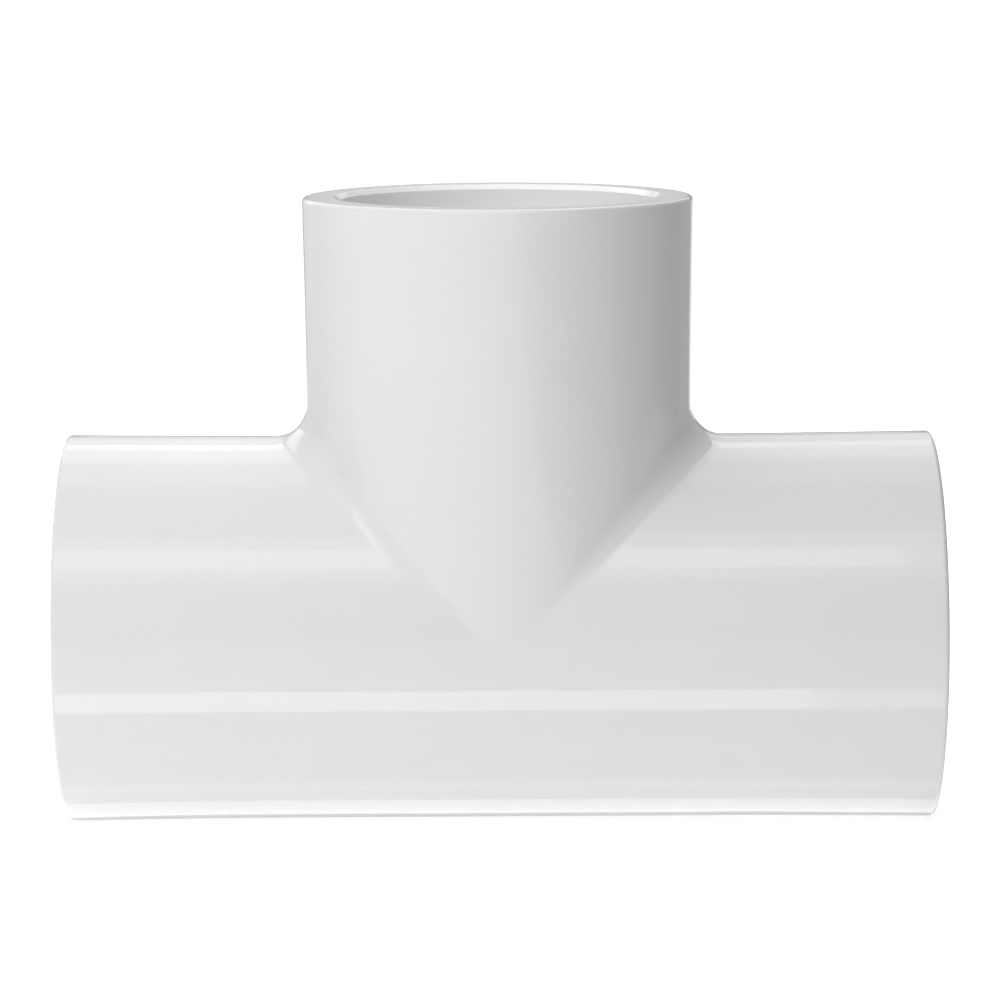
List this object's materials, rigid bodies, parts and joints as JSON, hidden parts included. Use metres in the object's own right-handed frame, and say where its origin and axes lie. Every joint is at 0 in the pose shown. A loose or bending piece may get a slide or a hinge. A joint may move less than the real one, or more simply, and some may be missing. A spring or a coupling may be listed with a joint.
{
  "type": "pipe tee fitting",
  "caption": "White plastic pipe tee with equal smooth solvent-weld sockets, flat inner pipe stops and a full-bore waterway.",
  "frame": {"origin": "where the axis of the run crosses the axis of the branch", "axes": "+X along the run towards the right socket, +Z along the branch out of its mouth, +Y across the run"},
  "size_m": [0.092, 0.0412, 0.0666],
  "materials": {
    "white_pvc": "glossy, as moulded"
  },
  "bodies": {
    "root": {"tee_body": "white_pvc"}
  },
  "joints": []
}
